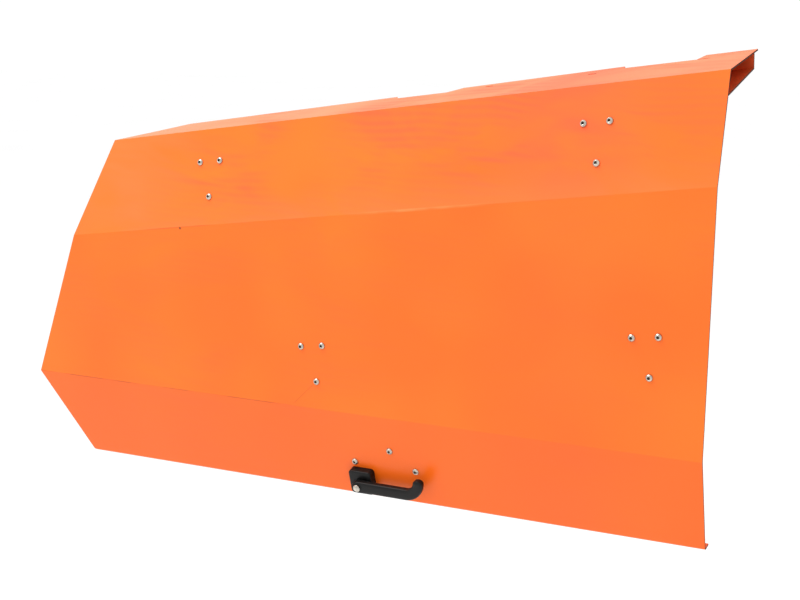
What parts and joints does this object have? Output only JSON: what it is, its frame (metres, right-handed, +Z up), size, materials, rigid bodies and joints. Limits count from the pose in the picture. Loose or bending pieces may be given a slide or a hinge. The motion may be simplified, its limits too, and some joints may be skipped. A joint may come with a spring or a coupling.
{
  "type": "atv plow blade",
  "caption": "Folded orange sheet-steel blade panel, tapered to one end, with rear hook brackets, screws, an end box and a quarter-turn lever latch.",
  "frame": {"origin": "middle of the flat seat at the top of the upper left hook's slot, where the panel hangs on its pin", "axes": "+X to the right along the lower fold, seen from the front; +Y to the rear, away from the orange front face; +Z up"},
  "size_m": [1.5562, 0.2174, 0.8901],
  "materials": {
    "orange_powder_coat": "gloss orange powder coat on folded sheet steel",
    "black_powder_coat": "satin black powder coat on welded plate",
    "zinc_plated_steel": "bright zinc plating",
    "black_moulded_nylon": "moulded glass-filled nylon with a fine grain"
  },
  "bodies": {
    "blade": {"blade_panel": "orange_powder_coat", "end_box": "orange_powder_coat", "hook_bracket_upper_left": "black_powder_coat", "hook_bracket_upper_right": "black_powder_coat", "hook_bracket_lower_left": "black_powder_coat", "hook_bracket_lower_right": "black_powder_coat", "upper_left_screw_1": "zinc_plated_steel", "upper_left_screw_2": "zinc_plated_steel", "upper_left_screw_3": "zinc_plated_steel", "upper_left_nut_1": "zinc_plated_steel", "upper_left_nut_2": "zinc_plated_steel", "upper_left_nut_3": "zinc_plated_steel", "upper_right_screw_1": "zinc_plated_steel", "upper_right_screw_2": "zinc_plated_steel", "upper_right_screw_3": "zinc_plated_steel", "upper_right_nut_1": "zinc_plated_steel", "upper_right_nut_2": "zinc_plated_steel", "upper_right_nut_3": "zinc_plated_steel", "lower_left_screw_1": "zinc_plated_steel", "lower_left_screw_2": "zinc_plated_steel", "lower_left_screw_3": "zinc_plated_steel", "lower_left_nut_1": "zinc_plated_steel", "lower_left_nut_2": "zinc_plated_steel", "lower_left_nut_3": "zinc_plated_steel", "lower_right_screw_1": "zinc_plated_steel", "lower_right_screw_2": "zinc_plated_steel", "lower_right_screw_3": "zinc_plated_steel", "lower_right_nut_1": "zinc_plated_steel", "lower_right_nut_2": "zinc_plated_steel", "lower_right_nut_3": "zinc_plated_steel", "latch_housing": "black_moulded_nylon", "latch_plate": "zinc_plated_steel", "latch_screw_1": "zinc_plated_steel", "latch_screw_2": "zinc_plated_steel", "latch_screw_3": "zinc_plated_steel", "latch_nut_1": "zinc_plated_steel", "latch_nut_2": "zinc_plated_steel", "latch_nut_3": "zinc_plated_steel", "housing_screw_1": "zinc_plated_steel", "housing_screw_2": "zinc_plated_steel"},
    "latch": {"latch_lever": "black_moulded_nylon", "latch_spindle": "zinc_plated_steel", "latch_tongue": "zinc_plated_steel", "latch_pivot_bolt": "zinc_plated_steel", "tongue_washer": "zinc_plated_steel", "tongue_nut": "zinc_plated_steel"}
  },
  "joints": [
    {"name": "lever_turn", "type": "hinge", "parent": "blade", "child": "latch", "pos_m": [0.342, -0.05811, -0.59763], "axis": [0, -0.9703, -0.2419], "range_deg": [0, 90]}
  ]
}
